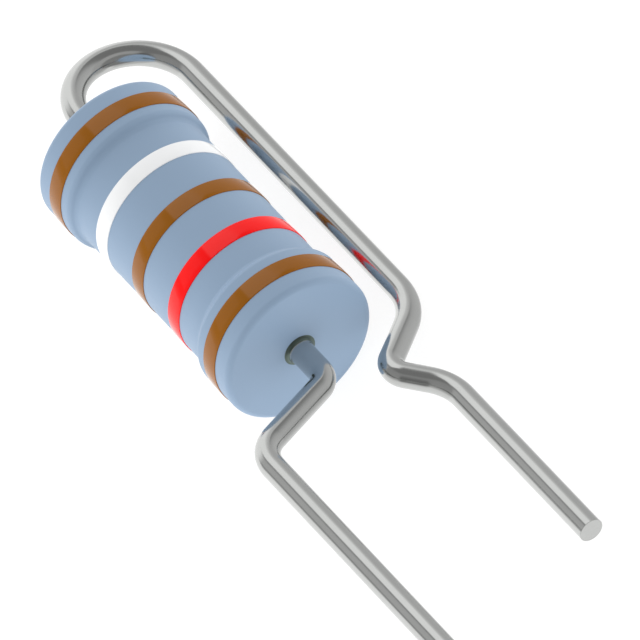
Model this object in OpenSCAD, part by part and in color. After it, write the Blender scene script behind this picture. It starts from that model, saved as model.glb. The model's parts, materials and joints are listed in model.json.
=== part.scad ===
// Axial film resistor with its two leads formed for upright mounting, lying on its side.
// The body lies along X with its near end at +X. The parts are first drawn on the body's
// own axis, with the plane of the leads level, and are then laid down on Z = 0.

/* [Resistive element] */
// Diameter of the ceramic rod
core_d = 3.2; // [2.8:0.1:3.6]
// Length of the ceramic rod
core_len = 7.6; // [6.6:0.1:9]
// Thickness of the metal film on the rod
film_t = 0.04; // [0.02:0.01:0.06]
// Distance that the spiral cut moves along the rod in one turn
spiral_pitch = 0.74; // [0.5:0.02:0.8]
// Number of turns of the spiral cut
spiral_turns = 5; // [2:1:5]
// Width of the spiral cut
spiral_cut = 0.12; // [0.08:0.02:0.2]

/* [End caps] */
// Wall of the pressed steel caps
cap_wall = 0.23; // [0.15:0.01:0.35]
// Length of a steel cap along the rod
cap_len = 1.3; // [1.1:0.05:1.7]
// Radius of the bend at a cap's closed end
cap_bend_r = 0.2; // [0.1:0.05:0.3]

/* [Lacquer] */
// Thickness of the lacquer over the caps
coat_cap_t = 0.21; // [0.16:0.01:0.3]
// Thickness of the lacquer on the film between the caps
coat_mid_t = 0.27; // [0.24:0.01:0.36]
// Thickness of the lacquer on the end faces
coat_end_t = 0.2; // [0.16:0.01:0.3]
// Rounding of the body's end edges
coat_edge_r = 0.16; // [0.1:0.02:0.4]
// Radius of both curves of the shoulder beside a cap
shoulder_r = 0.2; // [0.15:0.05:0.3]
// How far the shoulder's foot lies beyond the cap's open edge
shoulder_lap = 0.1; // [0.08:0.01:0.15]

/* [Colour bands] */
// Width of a colour band along the body
band_w = 0.5; // [0.3:0.05:0.6]
// Thickness of the band paint
band_t = 0.02; // [0.02:0.01:0.05]
// Distance from the middle of the body to the inner pair of bands
band_inner_x = 1.6; // [1.4:0.05:1.8]
// Distance from the middle of a band on a cap to the body's end face
band_end_x = 0.8; // [0.7:0.05:0.9]

/* [Leads] */
// Diameter of the tinned wire
wire_d = 0.64; // [0.5:0.02:0.72]
// Diameter of the thickened end that is welded to a cap
weld_d = 0.9; // [0.8:0.05:1.1]
// Thickness of the thickened end
weld_t = 0.1; // [0.06:0.01:0.12]
// Fillet of tin round a lead where it leaves the lacquer
collar_r = 0.12; // [0.06:0.01:0.15]

/* [Return lead] */
// Distance from the far end face to the centre of the loop
loop_start = 1.17; // [0.8:0.01:1.6]
// Distance between the body's axis and the wire beside the body
run_offset = 3.18; // [2.8:0.02:3.6]
// Distance along the body to the first bend of the kink
kink_in_x = 4.44; // [4.2:0.02:4.8]
// Distance along the body to the point of the kink
kink_mid_x = 6; // [5.8:0.05:6.3]
// Distance along the body to the last bend of the kink
kink_out_x = 7.21; // [7.1:0.01:7.6]
// Distance between the body's axis and the point of the kink
kink_offset = 1.32; // [1.1:0.02:1.5]
// Distance between the body's axis and the end of the return lead
return_offset = 2.4; // [2.2:0.05:2.6]
// Bend radius of the first bend of the kink
kink_in_r = 1.65; // [0.8:0.05:1.8]
// Bend radius at the point of the kink
kink_mid_r = 0.44; // [0.42:0.02:0.7]
// Bend radius of the last bend of the kink
kink_out_r = 1.4; // [0.8:0.05:1.6]
// Distance from the middle of the body to the return lead's cut end
return_tip_x = 13.26; // [12:0.02:16]

/* [Near lead] */
// Distance between the body's axis and the end of the near lead
near_offset = 2.75; // [2.5:0.05:3]
// Distance from the near end face to the first bend
jog_start = 1.23; // [1.1:0.01:1.5]
// Distance along the body that the jog takes
jog_len = 1.24; // [0.9:0.02:1.5]
// Bend radius of the first bend
jog_in_r = 0.62; // [0.5:0.02:0.7]
// Bend radius of the second bend
jog_out_r = 0.95; // [0.5:0.05:1.1]
// Distance from the middle of the body to the near lead's cut end
near_tip_x = 15; // [12:0.1:18]

/* [Hidden] */
$fn = 64;

// Radii from the axis outward
core_r = core_d / 2;
film_r = core_r + film_t;
steel_r = film_r + cap_wall;
cap_r = steel_r + coat_cap_t;
mid_r = film_r + coat_mid_t;
wire_r = wire_d / 2;
weld_r = weld_d / 2;

// Places along the axis, from the middle of the body
core_end = core_len / 2;
steel_end = core_end + cap_wall;
body_end = steel_end + coat_end_t;
steel_edge = steel_end - cap_len;

// The shoulder is two equal arcs that meet halfway up the step
step_h = cap_r - mid_r;
shoulder_w = sqrt(4 * shoulder_r * step_h - step_h * step_h);
shoulder_foot = steel_edge - shoulder_lap;
shoulder_top = shoulder_foot + shoulder_w;

// The body lies on the bands of its two caps, and leans on the run of the return lead
axis_z = cap_r + band_t;
lean = asin((axis_z - wire_r) / run_offset);

// The origin is under the middle of the box around the whole part
loop_x = body_end + loop_start;
min_x = -loop_x - run_offset / 2 - wire_r;
max_x = max(return_tip_x, near_tip_x);
max_y = run_offset * cos(lean) + wire_r;
min_y = -near_offset * cos(lean) - wire_r;
origin_x = (min_x + max_x) / 2;
origin_y = (min_y + max_y) / 2;

// Facets of one turn of the film's spiral, and how far its flats keep from the film's faces
film_steps = 36;
film_play = 0.003;

// A straight of a lead shorter than this is left out
least_straight = 0.001;

// Route of each lead in its plane: distance from the axis, distance from its cap's outer
// face. The return lead comes back past that face, so its distances turn negative there.
return_route = [
    [0, 0],
    [0, loop_x + run_offset / 2 - steel_end],
    [run_offset, loop_x + run_offset / 2 - steel_end],
    [run_offset, -steel_end - kink_in_x],
    [kink_offset, -steel_end - kink_mid_x],
    [return_offset, -steel_end - kink_out_x],
    [return_offset, -steel_end - return_tip_x]
];
return_bends = [run_offset / 2, run_offset / 2, kink_in_r, kink_mid_r, kink_out_r];
near_route = [
    [0, 0],
    [0, body_end + jog_start - steel_end],
    [-near_offset, body_end + jog_start + jog_len - steel_end],
    [-near_offset, near_tip_x - steel_end]
];
near_bends = [jog_in_r, jog_out_r];

function unit(v) = v / norm(v);
function cross2(a, b) = a[0] * b[1] - a[1] * b[0];

// Signed turn at corner i of a route, positive towards the return lead's side
function turn_at(p, i) =
    let (before = unit(p[i] - p[i - 1]), after = unit(p[i + 1] - p[i]))
        -sign(cross2(before, after)) * acos(before * after);

// What the bend at corner i takes from the straight on each side of it
function trim_at(p, r, i) =
    (i == 0 || i == len(p) - 1) ? 0 : r[i - 1] * tan(abs(turn_at(p, i)) / 2);

// Length of the straight after corner i
function straight_at(p, r, i) =
    norm(p[i + 1] - p[i]) - trim_at(p, r, i) - trim_at(p, r, i + 1);

// Lays the body down: along X, leaning on the return lead, over the origin
module lay_down() {
    translate([-origin_x, -origin_y, axis_z])
        rotate([-lean, 0, 0])
            children();
}

// Turns a profile of (radius, distance along the axis) about the body's axis
module turned() {
    rotate([0, 90, 0])
        rotate_extrude()
            children();
}

// Moves on to where a bend ends, for wire that starts along Z and turns to +X where positive
module past_bend(turn, bend_r) {
    arm = sign(turn) * bend_r;
    translate([arm, 0, 0])
        rotate([0, turn, 0])
            translate([-arm, 0, 0])
                children();
}

// A bend of wire: what a ring has after the bend's start and before its end
module wire_bend(turn, bend_r) {
    reach = 2 * (bend_r + wire_r);
    intersection() {
        translate([sign(turn) * bend_r, 0, 0])
            rotate([90, 0, turn > 0 ? 0 : 180])
                rotate_extrude()
                    translate([bend_r, 0])
                        circle(r = wire_r);
        translate([-reach, -reach, 0])
            cube(2 * reach);
        past_bend(turn, bend_r)
            translate([-reach, -reach, -2 * reach])
                cube(2 * reach);
    }
}

// The rest of a lead from corner i on, each piece laid from the end of the one before it
module wire_from(route, bends, i) {
    straight = straight_at(route, bends, i);
    if (straight > least_straight)
        cylinder(h = straight, r = wire_r);
    if (i < len(route) - 2) {
        turn = turn_at(route, i + 1);
        translate([0, 0, max(straight, 0)]) {
            wire_bend(turn, bends[i]);
            past_bend(turn, bends[i])
                wire_from(route, bends, i + 1);
        }
    }
}

// A lead that leaves the outer face of a cap, with its thickened end and its collar
module lead(route, bends) {
    translate([steel_end, 0, 0])
        rotate([90, 0, 90]) {
            cylinder(h = weld_t, r = weld_r);
            wire_from(route, bends, 0);
            translate([0, 0, coat_end_t])
                tin_collar();
        }
}

// The tin that has drawn up round a lead against the end face of the lacquer
module tin_collar() {
    rotate_extrude()
        difference() {
            square([wire_r + collar_r, collar_r]);
            translate([wire_r + collar_r, collar_r])
                circle(r = collar_r);
        }
}

// Outline of half of the body's outside, from the middle to the near end
module coat_outline() {
    square([mid_r, body_end - coat_edge_r]);
    // The hollow curve of the shoulder
    difference() {
        translate([0, shoulder_foot])
            square([mid_r + step_h / 2, shoulder_w]);
        translate([mid_r + shoulder_r, shoulder_foot])
            circle(r = shoulder_r);
    }
    // The round curve of the shoulder
    intersection() {
        translate([cap_r - shoulder_r, shoulder_top])
            circle(r = shoulder_r);
        translate([0, shoulder_top - shoulder_w / 2])
            square([cap_r, shoulder_w]);
    }
    // The part over the cap, with its rounded end edge
    translate([0, shoulder_top]) {
        square([cap_r, body_end - coat_edge_r - shoulder_top]);
        square([cap_r - coat_edge_r, body_end - shoulder_top]);
    }
    translate([cap_r - coat_edge_r, body_end - coat_edge_r])
        circle(r = coat_edge_r);
}

// Outline of half of what the lacquer covers
module inside_outline() {
    square([film_r, steel_end - cap_bend_r]);
    translate([0, steel_edge])
        steel_outline();
    square([weld_r, steel_end + weld_t]);
    square([wire_r, body_end + weld_t]);
}

// Outer outline of a steel cap from its open edge to its closed end
module steel_outline() {
    square([steel_r, cap_len - cap_bend_r]);
    square([steel_r - cap_bend_r, cap_len]);
    translate([steel_r - cap_bend_r, cap_len - cap_bend_r])
        circle(r = cap_bend_r);
}

// Both halves of an outline that is the same on each side of the middle
module both_halves() {
    children();
    mirror([0, 1])
        children();
}

module ceramic_core() {
    color("ivory")
        lay_down()
            turned()
                translate([0, -core_end])
                    square([core_r, core_len]);
}

// The film left on the rod: a ribbon between two plain sleeves under the caps
module resistive_film() {
    ribbon_w = spiral_pitch - spiral_cut;
    travel = spiral_pitch * spiral_turns;
    sleeve_edge = (travel - ribbon_w) / 2;
    color("dimgray")
        lay_down() {
            turned()
                both_halves()
                    translate([core_r, sleeve_edge])
                        square([film_t, core_end - sleeve_edge]);
            film_ribbon(ribbon_w, travel);
        }
}

// A ribbon of film wound round the rod, its flats clear of the rod and inside the sleeves
module film_ribbon(ribbon_w, travel) {
    rings = film_steps * spiral_turns;
    r_in = core_r / cos(180 / film_steps) + film_play;
    r_out = film_r - film_play;
    corners = [
        for (i = [0 : rings])
            let (turn = 360 * i / film_steps, x = (travel + ribbon_w) * (i / rings - 0.5))
                for (c = [[r_in, -1], [r_out, -1], [r_out, 1], [r_in, 1]])
                    [x + c[1] * ribbon_w / 2, c[0] * cos(turn), c[0] * sin(turn)]
    ];
    sides = [
        for (i = [0 : rings - 1])
            for (j = [0 : 3])
                [4 * i + j, 4 * i + (j + 1) % 4, 4 * i + 4 + (j + 1) % 4, 4 * i + 4 + j]
    ];
    ends = [[3, 2, 1, 0], [4 * rings, 4 * rings + 1, 4 * rings + 2, 4 * rings + 3]];
    polyhedron(points = corners, faces = concat(sides, ends));
}

module end_cap() {
    turned()
        difference() {
            translate([0, steel_edge])
                steel_outline();
            square([film_r, core_end]);
        }
}

module near_end_cap() {
    color("silver")
        lay_down()
            end_cap();
}

module far_end_cap() {
    color("silver")
        lay_down()
            mirror([1, 0, 0])
                end_cap();
}

module lacquer_coat() {
    color("lightsteelblue")
        lay_down()
            turned()
                both_halves()
                    difference() {
                        coat_outline();
                        inside_outline();
                    }
}

module return_lead() {
    color("gainsboro")
        lay_down()
            mirror([1, 0, 0])
                lead(return_route, return_bends);
}

module near_lead() {
    color("gainsboro")
        lay_down()
            lead(near_route, near_bends);
}

// A ring of band paint round the body
module band(middle_x, under_r, paint) {
    color(paint)
        lay_down()
            turned()
                translate([under_r, middle_x - band_w / 2])
                    square([band_t, band_w]);
}

module first_digit_band() {
    band(band_end_x - body_end, cap_r, "sienna");
}

module second_digit_band() {
    band(-band_inner_x, mid_r, "whitesmoke");
}

module third_digit_band() {
    band(0, mid_r, "sienna");
}

module multiplier_band() {
    band(band_inner_x, mid_r, "red");
}

module tolerance_band() {
    band(body_end - band_end_x, cap_r, "sienna");
}

ceramic_core();
resistive_film();
far_end_cap();
near_end_cap();
lacquer_coat();
return_lead();
near_lead();
first_digit_band();
second_digit_band();
third_digit_band();
multiplier_band();
tolerance_band();
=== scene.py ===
# %% [markdown]
# # An axial resistor, from the inside of the frame to the light in the studio
# This notebook dresses a small electronic part: a resistor with a lacquered body, painted
# colour bands and two bright wire leads. Its solids already exist, packed in one shared
# frame in metres, so every piece below is built in that frame and never fitted afterwards.
#
# The first cell loads the frame and keeps the box around the solids. At the end the same
# box is measured round the dressed part, and the two should agree.

# %% Load the frame
import json
import math
import bmesh
import bpy
from mathutils import Matrix, Vector


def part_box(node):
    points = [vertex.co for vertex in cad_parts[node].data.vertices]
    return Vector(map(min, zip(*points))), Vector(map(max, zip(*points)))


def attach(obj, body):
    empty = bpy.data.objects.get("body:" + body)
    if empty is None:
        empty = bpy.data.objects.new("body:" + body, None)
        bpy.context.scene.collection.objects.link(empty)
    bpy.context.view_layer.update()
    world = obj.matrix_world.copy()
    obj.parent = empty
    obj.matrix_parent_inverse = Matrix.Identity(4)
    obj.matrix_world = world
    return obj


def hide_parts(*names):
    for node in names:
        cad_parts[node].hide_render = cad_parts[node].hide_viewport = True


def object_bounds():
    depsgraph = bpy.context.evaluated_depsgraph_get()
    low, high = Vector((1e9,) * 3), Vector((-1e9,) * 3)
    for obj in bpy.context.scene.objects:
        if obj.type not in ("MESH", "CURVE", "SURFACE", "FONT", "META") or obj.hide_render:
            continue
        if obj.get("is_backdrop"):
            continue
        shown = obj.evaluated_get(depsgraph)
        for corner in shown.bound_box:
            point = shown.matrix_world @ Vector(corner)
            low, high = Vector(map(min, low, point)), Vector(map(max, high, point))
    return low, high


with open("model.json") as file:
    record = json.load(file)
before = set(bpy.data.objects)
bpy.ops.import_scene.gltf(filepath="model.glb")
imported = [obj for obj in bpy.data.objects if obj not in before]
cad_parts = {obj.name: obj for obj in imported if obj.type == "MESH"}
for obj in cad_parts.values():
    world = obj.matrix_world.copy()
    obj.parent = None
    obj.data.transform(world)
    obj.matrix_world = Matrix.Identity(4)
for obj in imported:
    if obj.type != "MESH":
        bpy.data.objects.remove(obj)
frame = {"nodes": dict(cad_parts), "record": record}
cad_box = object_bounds()
print("nodes in the frame:", ", ".join(sorted(frame["nodes"])))

# %% [markdown]
# ## The resistor's own axes
# The body lies along X. Its leads lie in one plane, and that plane leans, because the part
# rests on its two end swellings and on the long run of the return lead. All pieces are
# easier to think about in terms of that plane: how far along the body, and how far out
# from its axis. The body's axis is the middle of the lacquer's box, and the lean is read
# from the mount at the end of the return lead, so nothing here repeats a tilted number.

# %% Directions of the lead plane
MM = 0.001
coat_low, coat_high = (Vector(corner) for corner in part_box("lacquer_coat"))
body_middle = (coat_low + coat_high) / 2
mounts = {mount["name"]: mount for mount in frame["record"]["mounts"]}
lead_end = Vector(mounts["return_lead_end"]["pos_m"])

along_body = Vector((1, 0, 0))
out_of_axis = lead_end - body_middle
out_of_axis = (out_of_axis - out_of_axis.dot(along_body) * along_body).normalized()


def spot(distance_out, distance_along):
    """A point of the lead plane from its distances out of the body's axis and along it."""
    return body_middle + distance_out * out_of_axis + distance_along * along_body


print("body's middle at", tuple(round(v / MM, 2) for v in body_middle), "mm")
print("lean of the lead plane", round(math.degrees(math.asin(-out_of_axis.z)), 1), "degrees")

# %% [markdown]
# ## The camera first
# A very long lens from far away shows the part almost without perspective, as the
# photograph does. The camera looks down on the part from the side of its near end and is
# turned about its own line of sight, so that the body runs from top left to bottom right.
# The target is the point that lands in the middle of the picture.

# %% Camera
CAMERA_DISTANCE = 463.8 * MM
CAMERA_BEARING = math.radians(5.423)
CAMERA_HEIGHT = math.radians(52.565)
CAMERA_TURN = math.radians(-50.372)
CAMERA_LENS = 1076.85
CAMERA_TARGET = Vector((-1.3053, 0.5301, 0.1285)) * MM

towards_camera = Vector((
    math.cos(CAMERA_BEARING) * math.cos(CAMERA_HEIGHT),
    math.sin(CAMERA_BEARING) * math.cos(CAMERA_HEIGHT),
    math.sin(CAMERA_HEIGHT),
))
camera_data = bpy.data.cameras.new("studio_camera")
camera_data.sensor_width = 36
camera_data.lens = CAMERA_LENS
camera_data.clip_start = 0.01
camera_data.clip_end = 10
camera = bpy.data.objects.new("studio_camera", camera_data)
bpy.context.scene.collection.objects.link(camera)
level_view = towards_camera.to_track_quat("Z", "Y")
camera.rotation_mode = "QUATERNION"
camera.rotation_quaternion = level_view @ Matrix.Rotation(CAMERA_TURN, 3, "Z").to_quaternion()
camera.location = CAMERA_TARGET + CAMERA_DISTANCE * towards_camera
bpy.context.scene.camera = camera
print("camera is", round(CAMERA_DISTANCE, 3), "m from the part")

# %% [markdown]
# ## Writing materials as sums
# A material is a small calculation that is done at every point of a surface. Blender draws
# it as boxes and threads, which is hard to read in a script, so the class below wraps one
# output and lets Python's own signs add the boxes. `1 - mask` then reads as it should.

# %% A value in a node tree
class Value:
    """One output of a node, which can be added, multiplied and compared."""

    def __init__(self, tree, socket):
        self.tree = tree
        self.socket = socket

    def _maths(self, operation, *others):
        node = self.tree.nodes.new("ShaderNodeMath")
        node.operation = operation
        for slot, item in zip(node.inputs, (self, *others)):
            if isinstance(item, Value):
                self.tree.links.new(item.socket, slot)
            else:
                slot.default_value = item
        return Value(self.tree, node.outputs[0])

    def __add__(self, other):
        return self._maths("ADD", other)

    __radd__ = __add__

    def __mul__(self, other):
        return self._maths("MULTIPLY", other)

    __rmul__ = __mul__

    def __sub__(self, other):
        return self._maths("SUBTRACT", other)

    def __rsub__(self, other):
        return self * -1 + other

    def __truediv__(self, other):
        return self._maths("DIVIDE", other)

    def __lt__(self, other):
        return self._maths("LESS_THAN", other)

    def angle_from(self, other):
        """The angle of the direction (other, self), in radians."""
        return self._maths("ARCTAN2", other)

    def size(self):
        return self._maths("ABSOLUTE")

    def largest(self, other):
        return self._maths("MAXIMUM", other)

    def between_0_and_1(self):
        return self.largest(0)._maths("MINIMUM", 1)


# %% [markdown]
# Every other node comes from one method. It takes the node's type, its settings and what
# goes into it, and gives back the node, so a material reads from top to bottom.

# %% A node tree that is easy to write
class Recipe:
    """A material's or world's node tree."""

    def __init__(self, owner):
        owner.use_nodes = True
        self.tree = owner.node_tree
        self.tree.nodes.clear()

    def add(self, kind, settings=None, **values):
        node = self.tree.nodes.new(kind)
        for name, setting in (settings or {}).items():
            if name == "stops":
                self._set_stops(node.color_ramp, setting)
            else:
                setattr(node, name, setting)
        for name, value in values.items():
            self._feed(node.inputs[name.replace("_", " ")], value)
        return node

    def _set_stops(self, ramp, stops):
        while len(ramp.elements) > len(stops):
            ramp.elements.remove(ramp.elements[-1])
        while len(ramp.elements) < len(stops):
            ramp.elements.new(1.0)
        for element, (place, colour) in zip(ramp.elements, stops):
            element.position = place
            element.color = (*colour, 1)

    def _feed(self, slot, value):
        if isinstance(value, Value):
            self.tree.links.new(value.socket, slot)
        elif isinstance(value, bpy.types.NodeSocket):
            self.tree.links.new(value, slot)
        else:
            slot.default_value = value

    def value(self, node, output=0):
        return Value(self.tree, node.outputs[output])

    def blend(self, factor, first, second):
        """A colour between two others."""
        node = self.tree.nodes.new("ShaderNodeMix")
        node.data_type = "RGBA"
        self._feed(node.inputs[0], factor)
        self._feed(node.inputs[6], first)
        self._feed(node.inputs[7], second)
        return node.outputs[2]

    def finish(self, shader, output="ShaderNodeOutputMaterial"):
        end = self.tree.nodes.new(output)
        self.tree.links.new(shader.outputs[0], end.inputs["Surface"])


def new_recipe(name):
    material = bpy.data.materials.new(name)
    return material, Recipe(material)


# %% [markdown]
# ## The lacquer
# The body's skin is an epoxy lacquer, a greyish light blue. It isn't quite matt: it has a
# broad soft shine, and its surface is very slightly wavy where it flowed before it set.
# Two noises do that. A wide one shifts the tone by a few parts in a hundred, and a fine
# one, as a bump a thousandth of a millimetre deep, breaks the shine up.

# %% Lacquer material
LACQUER_BLUE = (0.256, 0.355, 0.488, 1)
LACQUER_PALE = (0.266, 0.368, 0.504, 1)
LACQUER_GLOSS = 1.34


def lacquer_material():
    material, recipe = new_recipe("blue_lacquer")
    place = recipe.add("ShaderNodeTexCoord").outputs["Object"]
    clouds = recipe.value(recipe.add(
        "ShaderNodeTexNoise", Vector=place, Scale=0.9 / MM, Detail=2.0,
    ))
    flow = recipe.value(recipe.add(
        "ShaderNodeTexNoise", Vector=place, Scale=2.4 / MM, Detail=1.0,
    ))
    ripple = recipe.add("ShaderNodeBump", Strength=0.10, Distance=0.01 * MM, Height=flow)
    shader = recipe.add(
        "ShaderNodeBsdfPrincipled",
        Base_Color=recipe.blend(clouds, LACQUER_BLUE, LACQUER_PALE),
        Roughness=0.42 + 0.05 * clouds,
        IOR=LACQUER_GLOSS,
        Normal=ripple.outputs[0],
    )
    recipe.finish(shader)
    return material


lacquer = lacquer_material()
print("made", lacquer.name)

# %% [markdown]
# ## Band paint
# The bands are rolled on in a glossier paint than the lacquer, so they show crisp
# reflections where the lacquer shows none. One recipe serves all three colours.

# %% Band paints
PAINT_BROWN = (0.268, 0.090, 0.001, 1)
PAINT_WHITE = (0.860, 0.868, 0.875, 1)
PAINT_RED = (0.930, 0.001, 0.001, 1)
PAINT_GLOSS = 1.40
THIN_PAINT = 1.04


def paint_material(name, colour):
    material, recipe = new_recipe(name)
    place = recipe.add("ShaderNodeTexCoord").outputs["Object"]
    streaks = recipe.value(recipe.add(
        "ShaderNodeTexNoise", Vector=place, Scale=1.6 / MM, Detail=1.0,
    ))
    thinner = tuple(min(1, channel * THIN_PAINT + 0.001) for channel in colour[:3]) + (1,)
    shader = recipe.add(
        "ShaderNodeBsdfPrincipled",
        Base_Color=recipe.blend(streaks, colour, thinner),
        Roughness=0.02 + 0.02 * streaks,
        IOR=PAINT_GLOSS,
    )
    recipe.finish(shader)
    return material


paints = {
    "brown": paint_material("brown_paint", PAINT_BROWN),
    "white": paint_material("white_paint", PAINT_WHITE),
    "red": paint_material("red_paint", PAINT_RED),
}
print("made", len(paints), "paints")

# %% [markdown]
# ## Tinned wire
# The leads are copper-plated steel with a bright coat of tin. Drawing the wire through its
# die leaves faint lines along it, and the tin itself is a little uneven. Right where a lead
# leaves the lacquer the tin is painted dark and rougher, as painted shade in the crease at
# the body's face. A mask finds that spot by its distance from the body's axis and faces.

# %% Wire material
TIN_BRIGHT = (0.555, 0.562, 0.552, 1)
TIN_DULL = (0.520, 0.527, 0.517, 1)
# painted shade: the dark colour of the tin ring at the wire's root by the body's face
TIN_PAINTED_SHADE = (0.130, 0.170, 0.150, 1)
PAINTED_SHADE_RADIUS = 0.5 * MM
PAINTED_SHADE_LENGTH = 0.07 * MM
BODY_END = (coat_high.x - coat_low.x) / 2


def wire_material():
    material, recipe = new_recipe("tinned_wire")
    place = recipe.add("ShaderNodeTexCoord").outputs["Object"]
    patches = recipe.value(recipe.add(
        "ShaderNodeTexNoise", Vector=place, Scale=1.2 / MM, Detail=2.0,
    ))
    parts = recipe.add("ShaderNodeSeparateXYZ", Vector=place)
    x, y, z = (recipe.value(parts, axis) for axis in range(3))
    aside, above = y - body_middle.y, z - body_middle.z
    past_face = (x - body_middle.x).size() - BODY_END
    # painted shade: a mask for the wire's root just outside the body's faces, painted dark
    painted_shade = (aside * aside + above * above < PAINTED_SHADE_RADIUS ** 2) * (past_face < PAINTED_SHADE_LENGTH)
    ripple = recipe.add("ShaderNodeBump", Strength=0.05, Distance=0.01 * MM, Height=patches)
    bright = recipe.blend(patches, TIN_BRIGHT, TIN_DULL)
    shader = recipe.add(
        "ShaderNodeBsdfPrincipled",
        Base_Color=recipe.blend(painted_shade, bright, TIN_PAINTED_SHADE),
        Metallic=1.0,
        Roughness=0.13 + 0.05 * patches + 0.12 * painted_shade,
        Normal=ripple.outputs[0],
    )
    recipe.finish(shader)
    return material


tinned_wire = wire_material()
print("made", tinned_wire.name)

# %% [markdown]
# ## Turning a body from a line
# The lacquer is round about the axis, so it is drawn as half of its own section and spun,
# as a potter's rib shapes a pot. The section starts as straight lines between corners.
# Each corner is then rounded with a vertex bevel: for an arc of radius r at a corner that
# turns by an angle t, the bevel takes r times tan(t / 2) off both lines.

# %% Helpers for turned pieces
CREASE = math.radians(28)
SAME_PLACE = 1e-8


def closed_line(mesh, corners):
    """A closed line through (distance out, distance along) corners; returns its vertices."""
    verts = [mesh.verts.new(spot(out, along)) for out, along in corners]
    for first, second in zip(verts, verts[1:] + verts[:1]):
        mesh.edges.new((first, second))
    return verts


def round_corner(mesh, vert, radius, segments):
    """Rounds one corner of a line with an arc of that radius."""
    before, after = (edge.other_vert(vert).co - vert.co for edge in vert.link_edges)
    turn = math.pi - before.angle(after)
    bmesh.ops.bevel(
        mesh, geom=[vert], affect="VERTICES", offset_type="OFFSET",
        offset=radius * math.tan(turn / 2), segments=segments, profile=0.5,
        clamp_overlap=False, material=-1,
    )


def spin_round(mesh, steps):
    """Turns the whole line about the body's axis into a closed skin."""
    bmesh.ops.spin(
        mesh, geom=mesh.verts[:] + mesh.edges[:], cent=body_middle, axis=along_body,
        angle=math.tau, steps=steps, use_merge=True,
    )


def soft_piece(mesh, name, material):
    """Makes an object of a mesh, smooth but for its real edges."""
    bmesh.ops.remove_doubles(mesh, verts=mesh.verts, dist=SAME_PLACE)
    bmesh.ops.recalc_face_normals(mesh, faces=mesh.faces)
    for face in mesh.faces:
        face.smooth = True
    for edge in mesh.edges:
        edge.smooth = edge.calc_face_angle(0) < CREASE
    data = bpy.data.meshes.new(name)
    mesh.to_mesh(data)
    mesh.free()
    data.materials.append(material)
    piece = bpy.data.objects.new(name, data)
    bpy.context.scene.collection.objects.link(piece)
    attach(piece, "root")
    print(name, "has", len(data.polygons), "faces")
    return piece


# %% [markdown]
# ## The lacquered body
# Under the lacquer a steel cap sits on each end of the rod, and that is why the body
# swells there. The shoulder beside a cap is two equal arcs, one hollow and one round, that
# meet halfway up the step. Inside, the lacquer follows the film, the caps and the thick end
# of each wire, so the skin is a true shell with a hole at each end.

# %% Sizes of the body
WIRE_R = 0.32 * MM
CAP_R = (coat_high.z - coat_low.z) / 2
MID_R = 1.91 * MM
FILM_R = 1.64 * MM
STEEL_R = 1.87 * MM
WELD_R = 0.45 * MM
WELD_T = 0.1 * MM
COAT_END_T = 0.2 * MM
EDGE_R = 0.16 * MM
SHOULDER_R = 0.2 * MM
SHOULDER_FOOT = 2.63 * MM
STEEL_LENGTH = 1.3 * MM
STEEL_END = BODY_END - COAT_END_T
STEEL_EDGE = STEEL_END - STEEL_LENGTH

step_height = CAP_R - MID_R
shoulder_width = math.sqrt(4 * SHOULDER_R * step_height - step_height ** 2)
shoulder_turn = math.asin(shoulder_width / 2 / SHOULDER_R)
shoulder_trim = SHOULDER_R * math.tan(shoulder_turn / 2)
print("a shoulder rises", round(step_height / MM, 3), "mm over", round(shoulder_width / MM, 3))

# %% [markdown]
# Half of the section is enough to write down, because the other half is its mirror image.
# The two are joined into one closed line, its outer corners are rounded, and the line is
# spun once round. Corners with a radius of 0 stay sharp: nobody ever sees them.

# %% The lacquer's skin
STEPS_ROUND = 160
STEPS_PER_CORNER = 10


def half_outside():
    """Corners of the near half of the outside, with the radius that rounds each."""
    return [
        ((MID_R, SHOULDER_FOOT + shoulder_trim), SHOULDER_R),
        ((CAP_R, SHOULDER_FOOT + shoulder_width - shoulder_trim), SHOULDER_R),
        ((CAP_R, BODY_END), EDGE_R),
        ((WIRE_R, BODY_END), 0),
    ]


def half_inside():
    """Corners of the near half of the inside, from the hole back to the middle."""
    return [
        ((WIRE_R, STEEL_END + WELD_T), 0),
        ((WELD_R, STEEL_END + WELD_T), 0),
        ((WELD_R, STEEL_END), 0),
        ((STEEL_R, STEEL_END), 0),
        ((STEEL_R, STEEL_EDGE), 0),
        ((FILM_R, STEEL_EDGE), 0),
    ]


def far_side(corners):
    """The same corners on the far half, in the order that closes the line."""
    return [((out, -along), radius) for (out, along), radius in reversed(corners)]


def lacquer_coat():
    near = half_outside() + half_inside()
    corners = near + far_side(near)
    mesh = bmesh.new()
    verts = closed_line(mesh, [corner for corner, _ in corners])
    for vert, (_, radius) in zip(verts, corners):
        if radius:
            round_corner(mesh, vert, radius, STEPS_PER_CORNER)
    spin_round(mesh, STEPS_ROUND)
    piece = soft_piece(mesh, "lacquer_skin", lacquer)
    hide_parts("lacquer_coat")


lacquer_coat()

# %% [markdown]
# ## Five colour bands
# Each band is a thin ring of paint. It stands two hundredths of a millimetre proud and its
# outer edges are rounded, as wet paint's are. The places come from the frame: a band's node
# gives where it lies along the body and how far out it reaches.

# %% Colour bands
BAND_T = 0.02 * MM
BAND_EDGE_R = 0.015 * MM
STEPS_PER_BAND_EDGE = 3


def colour_band(node, paint):
    low, high = (Vector(corner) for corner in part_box(node))
    start = low.x - body_middle.x
    stop = high.x - body_middle.x
    outer = (high.z - low.z) / 2
    inner = outer - BAND_T
    mesh = bmesh.new()
    verts = closed_line(mesh, [(inner, start), (outer, start), (outer, stop), (inner, stop)])
    for vert in verts[1:3]:
        round_corner(mesh, vert, BAND_EDGE_R, STEPS_PER_BAND_EDGE)
    spin_round(mesh, STEPS_ROUND)
    piece = soft_piece(mesh, node + "_paint", paints[paint])
    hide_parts(node)


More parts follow.
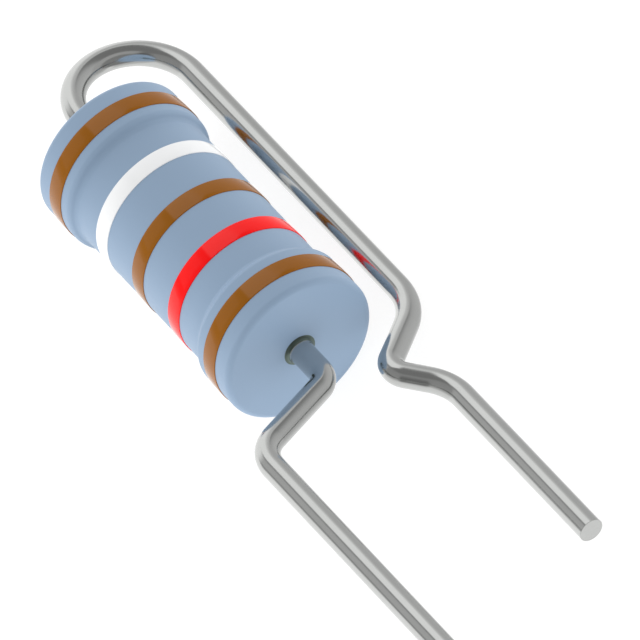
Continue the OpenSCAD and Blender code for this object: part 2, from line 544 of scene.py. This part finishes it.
for node, paint, slot in (
    ("first_digit_band", "brown", "brown_band"),
    ("second_digit_band", "white", "white_band"),
    ("third_digit_band", "brown", "brown_band"),
    ("multiplier_band", "red", "red_band"),
    ("tolerance_band", "brown", "brown_band"),
):
    colour_band(node, paint)

# %% [markdown]
# ## Bending the leads
# A lead is one wire, so it is made the way a bending jig makes it: a round section is
# pushed straight, then swung about the jig's peg, then pushed straight again. Extruding a
# ring of edges is the push, and a spin that keeps only its new rings is the swing. The
# route is a list of corners in the lead plane with a bend radius for each.

# %% Jig for bending wire
WIRE_SIDES = 48
BEND_STEP = math.radians(4)
CUT_EDGE = 0.006 * MM


def push(mesh, ring, move):
    """Extrudes a ring of edges and moves the new ring; returns the new ring."""
    grown = bmesh.ops.extrude_edge_only(mesh, edges=ring)["geom"]
    verts = [item for item in grown if isinstance(item, bmesh.types.BMVert)]
    bmesh.ops.translate(mesh, verts=verts, vec=move)
    return [item for item in grown if isinstance(item, bmesh.types.BMEdge)
            and all(vert in verts for vert in item.verts)]


def swing(mesh, ring, peg, axis, turn):
    """Spins a ring of edges about a peg; returns the last ring."""
    steps = max(2, round(turn / BEND_STEP))
    done = bmesh.ops.spin(
        mesh, geom=ring, cent=peg, axis=axis, angle=turn, steps=steps,
        use_merge=False, use_duplicate=False,
    )
    return [item for item in done["geom_last"] if isinstance(item, bmesh.types.BMEdge)]


def resize_ring(mesh, ring, centre, factor):
    """Scales a ring of edges about a point."""
    verts = list({vert for edge in ring for vert in edge.verts})
    bmesh.ops.scale(
        mesh, verts=verts, vec=(factor, factor, factor), space=Matrix.Translation(-centre),
    )


def lay_rings(mesh, ring, start, heading, stations):
    """Pushes a ring through (distance, radius) stations of a straight that starts at a point."""
    (travelled, radius), *rest = stations
    for distance, wanted in rest:
        ring = push(mesh, ring, heading * (distance - travelled))
        resize_ring(mesh, ring, start + heading * distance, wanted / radius)
        travelled, radius = distance, wanted
    return ring


def close_ring(mesh, ring):
    """Fills a ring of edges with one flat face."""
    bmesh.ops.contextual_create(mesh, geom=ring)


# %% [markdown]
# The first ring is the thickened end that is welded to a cap. It is as wide as the weld,
# then steps in to the wire. Where the wire leaves the lacquer, a small collar of tin flares
# out against the body's face. The last ring is drawn in a little before it is closed, so
# that the cut end has the slightly broken edge that a cutter leaves.

# %% A whole lead
COLLAR_R = 0.12 * MM
COLLAR_STEPS = 8
LEAST_STRAIGHT = 1e-7


def root_stations():
    """Stations of a lead's first straight: weld, wire through the lacquer, flared collar."""
    stations = [(0, WELD_R), (WELD_T, WELD_R), (WELD_T, WIRE_R), (COAT_END_T, WIRE_R)]
    for step in range(COLLAR_STEPS + 1):
        angle = math.pi / 2 * step / COLLAR_STEPS
        stations.append((
            COAT_END_T + COLLAR_R * (1 - math.cos(angle)),
            WIRE_R + COLLAR_R * (1 - math.sin(angle)),
        ))
    return stations


def bent_wire(name, route, radii):
    """A wire along corners (distance out, distance along) with a bend radius at each."""
    corners = [spot(out, along) for out, along in route]
    heading = (corners[1] - corners[0]).normalized()
    mesh = bmesh.new()
    stand = Matrix.Translation(corners[0]) @ heading.to_track_quat("Z", "Y").to_matrix().to_4x4()
    start = bmesh.ops.create_circle(mesh, segments=WIRE_SIDES, radius=WELD_R, matrix=stand)
    ring = list({edge for vert in start["verts"] for edge in vert.link_edges})
    close_ring(mesh, ring)
    stations = root_stations()
    ring = lay_rings(mesh, ring, corners[0], heading, stations)
    travelled = stations[-1][0]
    for before, corner, after, radius in zip(corners, corners[1:], corners[2:], radii):
        new_heading = (after - corner).normalized()
        turn = heading.angle(new_heading)
        trim = radius * math.tan(turn / 2)
        straight = (corner - before).length - travelled - trim
        if straight > LEAST_STRAIGHT:
            ring = push(mesh, ring, heading * straight)
        axis = heading.cross(new_heading).normalized()
        peg = corner - heading * trim + axis.cross(heading) * radius
        ring = swing(mesh, ring, peg, axis, turn)
        heading = new_heading
        travelled = trim
    last = (corners[-1] - corners[-2]).length - travelled
    ring = push(mesh, ring, heading * (last - CUT_EDGE))
    ring = push(mesh, ring, heading * CUT_EDGE)
    resize_ring(mesh, ring, corners[-1], 1 - CUT_EDGE / WIRE_R)
    close_ring(mesh, ring)
    return soft_piece(mesh, name, tinned_wire)


# %% [markdown]
# The return lead loops round behind the body and comes back beside it. The kink in it is
# the stop that rests on a circuit board and keeps the hot body clear of it.

# %% Return lead
LOOP_START = 1.17 * MM
RUN_OUT = 3.18 * MM
KINK_OUT = 1.32 * MM
RETURN_OUT = (lead_end - body_middle).dot(out_of_axis)
KINK_STARTS_X = 4.44 * MM
KINK_TURNS_X = 6.0 * MM
KINK_STOPS_X = 7.21 * MM
RETURN_TIP_X = 13.26 * MM
KINK_RADII = [1.65 * MM, 0.44 * MM, 1.4 * MM]

loop_corner_x = -BODY_END - LOOP_START - RUN_OUT / 2
return_route = [
    (0, -STEEL_END),
    (0, loop_corner_x),
    (RUN_OUT, loop_corner_x),
    (RUN_OUT, KINK_STARTS_X),
    (KINK_OUT, KINK_TURNS_X),
    (RETURN_OUT, KINK_STOPS_X),
    (RETURN_OUT, RETURN_TIP_X),
]
piece = bent_wire("return_wire", return_route, [RUN_OUT / 2, RUN_OUT / 2, *KINK_RADII])
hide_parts("return_lead")

# %% [markdown]
# The near lead only jogs aside, which sets the two ends one hole pitch apart.

# %% Near lead
near_end = Vector(mounts["near_lead_end"]["pos_m"])
NEAR_OUT = (near_end - body_middle).dot(out_of_axis)
JOG_X = BODY_END + 1.23 * MM
JOG_LENGTH = 1.24 * MM
JOG_RADII = [0.62 * MM, 0.95 * MM]
NEAR_TIP_X = 15.0 * MM

near_route = [
    (0, STEEL_END),
    (0, JOG_X),
    (NEAR_OUT, JOG_X + JOG_LENGTH),
    (NEAR_OUT, NEAR_TIP_X),
]
piece = bent_wire("near_wire", near_route, JOG_RADII)
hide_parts("near_lead")
print("hole pitch", round((RETURN_OUT - NEAR_OUT) / MM, 3), "mm")

# %% [markdown]
# ## What the lacquer hides
# The rod, its film and the steel caps stay as the solids of the frame. Nobody sees them,
# but a reader who takes the part apart should still find a white ceramic rod, a dark metal
# film and plain steel caps.

# %% Materials of the inner pieces
def plain_material(name, colour, metallic, low, high):
    """A material with one colour whose roughness varies between two values."""
    material, recipe = new_recipe(name)
    place = recipe.add("ShaderNodeTexCoord").outputs["Object"]
    grain = recipe.value(recipe.add(
        "ShaderNodeTexNoise", Vector=place, Scale=4 / MM, Detail=3.0,
    ))
    shader = recipe.add(
        "ShaderNodeBsdfPrincipled",
        Base_Color=colour,
        Metallic=metallic,
        Roughness=low + (high - low) * grain,
    )
    recipe.finish(shader)
    return material


inner_finishes = {
    "ceramic_core": plain_material("white_ceramic", (0.82, 0.80, 0.74, 1), 0.0, 0.5, 0.7),
    "resistive_film": plain_material("metal_film", (0.20, 0.19, 0.19, 1), 1.0, 0.3, 0.5),
    "far_end_cap": plain_material("pressed_steel", (0.58, 0.57, 0.55, 1), 1.0, 0.25, 0.4),
}
inner_finishes["near_end_cap"] = inner_finishes["far_end_cap"]
for node, finish in inner_finishes.items():
    solid = frame["nodes"][node]
    solid.data.materials.clear()
    solid.data.materials.append(finish)
print("finished", len(inner_finishes), "inner pieces")

# %% [markdown]
# ## The floor
# The floor is plain and pale and glows faintly, like the lit table of a photo studio, so
# it comes out white with the part's soft shadow on it. It glows more for what it lights
# than for the camera, and less under the body, where a real table lies in the dark. Bright
# metal looks straight through it, at the studio that the next cells paint on the world.

# %% Floor
FLOOR_HALF = 3.0
FLOOR_GLOW = 0.86
FLOOR_COLOUR = (0.25, 0.25, 0.25, 1)
FLOOR_LIGHT = 1.75
FLOOR_UNDER = 0.40
DARK_REACH = 1.5


def either(recipe, factor, when_no, when_yes):
    """One of two shaders, by a value of 0 or 1."""
    mix = recipe.add("ShaderNodeMixShader", Fac=factor)
    recipe.tree.links.new(when_no.outputs[0], mix.inputs[1])
    recipe.tree.links.new(when_yes.outputs[0], mix.inputs[2])
    return mix


def floor_material():
    material, recipe = new_recipe("studio_floor")
    place = recipe.add("ShaderNodeTexCoord").outputs["Object"]
    parts = recipe.add("ShaderNodeSeparateXYZ", Vector=place)
    along, across = recipe.value(parts, 0), recipe.value(parts, 1)
    ahead = (along - body_middle.x).size() / BODY_END
    aside = (across - body_middle.y).size() / (2 * CAP_R)
    under = (DARK_REACH - (ahead * ahead + aside * aside)).between_0_and_1()
    path = recipe.add("ShaderNodeLightPath")
    paint = recipe.add("ShaderNodeBsdfDiffuse", Color=FLOOR_COLOUR)
    glow = recipe.add("ShaderNodeEmission", Strength=FLOOR_GLOW)
    seen = recipe.add("ShaderNodeAddShader")
    recipe.tree.links.new(paint.outputs[0], seen.inputs[0])
    recipe.tree.links.new(glow.outputs[0], seen.inputs[1])
    clear = recipe.add("ShaderNodeBsdfTransparent")
    lighting = recipe.add(
        "ShaderNodeEmission", Strength=FLOOR_LIGHT + (FLOOR_UNDER - FLOOR_LIGHT) * under,
    )
    unseen = either(recipe, path.outputs["Is Glossy Ray"], lighting, clear)
    recipe.finish(either(recipe, path.outputs["Is Camera Ray"], unseen, seen))
    return material


floor_mesh = bmesh.new()
bmesh.ops.create_grid(floor_mesh, x_segments=1, y_segments=1, size=FLOOR_HALF)
floor_data = bpy.data.meshes.new("floor")
floor_mesh.to_mesh(floor_data)
floor_mesh.free()
floor_data.materials.append(floor_material())
floor = bpy.data.objects.new("floor", floor_data)
bpy.context.scene.collection.objects.link(floor)
floor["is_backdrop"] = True
print("the floor is", 2 * FLOOR_HALF, "m wide")

# %% [markdown]
# ## The light
# Product photographs of small parts are lit with long soft boxes parallel to the part, and
# the streaks along a bright wire are those boxes. Here they are painted on the world. A
# direction's angle about the body's axis says which box, wall or gap it looks at: -90 is
# straight down, 0 is level on the return lead's side, 90 is up, 180 is the other side.
#
# Each strip is a pair of an angle and a brightness, as a share of the brightest. There are
# three rows of strips, because the boxes aren't endless: one row behind the part, where the
# top box is, one dark row beside it, and one row in front. Past the far end there is a white
# wall, and straight ahead of the near end it is dark.

# %% Strips of the studio
BRIGHTEST = 1.2
ROW_BEHIND = [
    (-90, 1.00), (-74, 0.95), (-62, 0.78), (-50, 0.62), (-38, 0.53), (-20, 0.50),
    (8, 0.51), (20, 0.54), (28, 0.61), (34, 0.70), (40, 0.85), (45, 0.96), (85.5, 0.96),
    (89, 0.28), (98, 0.32), (103, 0.49), (145, 0.49), (149, 0.28), (156, 0.32),
    (161, 0.49), (165, 0.60), (168, 0.98), (270, 1.00),
]
ROW_BESIDE = [
    (-90, 0.83), (-72, 0.68), (-54, 0.57), (-20, 0.55), (4, 0.50), (14, 0.40),
    (22, 0.24), (30, 0.21), (92, 0.21), (100, 0.30), (148, 0.33), (156, 0.40),
    (166, 0.60), (176, 0.83), (200, 0.90), (240, 0.90), (270, 0.83),
]
ROW_FRONT = [
    (-90, 0.88), (-82, 0.60), (-60, 0.44), (24, 0.44), (80, 0.40), (92, 0.14),
    (165, 0.14), (176, 0.55), (200, 0.62), (256, 0.66), (262, 0.88), (270, 0.88),
]
BACK_WALL = 0.97
FAR_FRONT = 0.25


def strip_row(recipe, share_of_turn, row):
    """The brightness of one row of strips at a share of the whole turn from straight down."""
    stops = [((angle + 90) / 360, (level, level, level)) for angle, level in row]
    ramp = recipe.add("ShaderNodeValToRGB", {"stops": stops}, Fac=share_of_turn)
    return recipe.value(ramp)


# %% [markdown]
# Matt surfaces gather light from everywhere, so for them a smooth slope of brightness does
# the same work: bright low down, where a lit table and white walls are, and dimmer above.
# Light Path says which of the two a ray wants, and gives the camera itself plain white.
#
# The rows change into one another by how far a direction points along the body, from -1 at
# the far end to 1 at the near end. Each change has a start and a width, so it is soft.

# %% World
MATT_LEVEL = 1.43
MATT_SLOPE = (-0.51, -0.24, -0.77)
BOX_MIDDLE = 66
BOX_END = -0.28
BOX_SLANT = 0.0071
ROW_END = -0.52
ROW_SOFTNESS = 0.06
FRONT_START = 0.36
FRONT_SOFTNESS = 0.12
BACK_WALL_START = -0.74
BACK_WALL_SOFTNESS = 0.16
FAR_FRONT_START = 0.70
FAR_FRONT_SOFTNESS = 0.08


def fade(before, after, distance, softness):
    """One value that becomes another where a distance grows from 0 to the softness."""
    return before + (after - before) * (distance / softness).between_0_and_1()


def studio_world():
    world = bpy.data.worlds.new("studio")
    bpy.context.scene.world = world
    recipe = Recipe(world)
    direction = recipe.add("ShaderNodeTexCoord").outputs["Generated"]
    parts = recipe.add("ShaderNodeSeparateXYZ", Vector=direction)
    along, across, upward = (recipe.value(parts, axis) for axis in range(3))
    angle = upward.angle_from(across) * math.degrees(1)
    angle = angle + 360 * (angle < -90)
    share_of_turn = (angle + 90) / 360

    behind = strip_row(recipe, share_of_turn, ROW_BEHIND)
    beside = strip_row(recipe, share_of_turn, ROW_BESIDE)
    front = strip_row(recipe, share_of_turn, ROW_FRONT)
    behind_end = (BOX_END - BOX_SLANT * (angle - BOX_MIDDLE).size()).largest(ROW_END)
    mirrored = fade(behind, beside, along - behind_end, ROW_SOFTNESS)
    mirrored = fade(mirrored, front, along - FRONT_START, FRONT_SOFTNESS)
    mirrored = fade(mirrored, BACK_WALL, BACK_WALL_START - along, BACK_WALL_SOFTNESS)
    mirrored = fade(mirrored, FAR_FRONT, along - FAR_FRONT_START, FAR_FRONT_SOFTNESS)

    slope_x, slope_y, slope_z = MATT_SLOPE
    matt = along * slope_x + across * slope_y + upward * slope_z + MATT_LEVEL
    path = recipe.add("ShaderNodeLightPath")
    camera_ray = recipe.value(path, "Is Camera Ray")
    glossy_ray = recipe.value(path, "Is Glossy Ray")
    other_ray = 1 - camera_ray - glossy_ray
    background = recipe.add(
        "ShaderNodeBackground",
        Strength=camera_ray + glossy_ray * mirrored * BRIGHTEST + other_ray * matt,
    )
    background.inputs["Color"].default_value = (1, 1, 1, 1)
    recipe.finish(background, "ShaderNodeOutputWorld")


studio_world()
print("painted", len(ROW_BEHIND) + len(ROW_BESIDE) + len(ROW_FRONT), "strips on the world")

# %% [markdown]
# One real lamp, a large soft box above the near end's side, gives the shadow its direction.
# It is kept out of reflections, where the painted strips already stand for it.

# %% Lamp
KEY_PLACE = Vector((-0.1, -0.5, 0.3))
KEY_WIDTH = 0.4
KEY_WATTS = 0.3

key_data = bpy.data.lights.new("key_box", "AREA")
key_data.shape = "SQUARE"
key_data.size = KEY_WIDTH
key_data.energy = KEY_WATTS
key_box = bpy.data.objects.new("key_box", key_data)
bpy.context.scene.collection.objects.link(key_box)
key_box.location = KEY_PLACE
key_box.rotation_mode = "QUATERNION"
key_box.rotation_quaternion = KEY_PLACE.to_track_quat("Z", "Y")
key_box.visible_glossy = False
print("the lamp is", round(KEY_PLACE.length, 2), "m away")

# %% [markdown]
# ## Measure and finish
# View settings stay plain so that a colour comes out about as it is written.

# %% Finish
bpy.context.scene.view_settings.view_transform = "Standard"
dressed_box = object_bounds()
sizes = {
    "cad": [list(corner) for corner in cad_box],
    "scene": [list(corner) for corner in dressed_box],
}
print("sizes in mm:", {
    name: [round((high - low) / MM, 3) for low, high in zip(*box)]
    for name, box in sizes.items()
})
